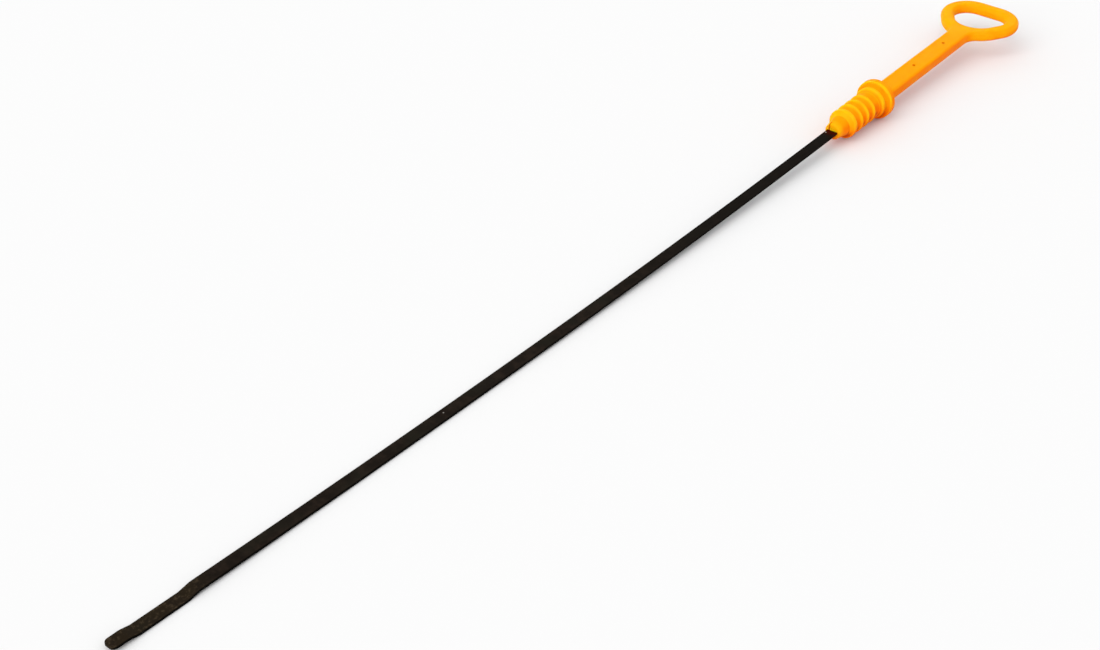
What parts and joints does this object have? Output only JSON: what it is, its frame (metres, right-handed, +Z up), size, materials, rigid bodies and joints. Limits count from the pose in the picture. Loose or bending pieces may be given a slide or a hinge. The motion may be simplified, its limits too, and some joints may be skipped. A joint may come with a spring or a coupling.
{
  "type": "engine oil dipstick",
  "caption": "Engine oil dipstick: a long thin dark steel strip with offset level marks near its tip, set in an orange plastic handle with a ribbed sealing plug, flange and finger loop.",
  "frame": {"origin": "on the floor, below the middle of the part's length, as it lies at rest on the flange's rim and the marked zone near the tip", "axes": "+X along the part from the measuring tip to the finger loop, +Y across the strip's width, +Z up from the floor"},
  "size_m": [0.5212, 0.0368, 0.0176],
  "materials": {
    "orange_plastic": "semi-gloss moulded orange",
    "dark_steel": "blackened steel, brown-black, lightly mottled"
  },
  "bodies": {
    "root": {"strip": "dark_steel", "handle": "orange_plastic"}
  },
  "joints": []
}
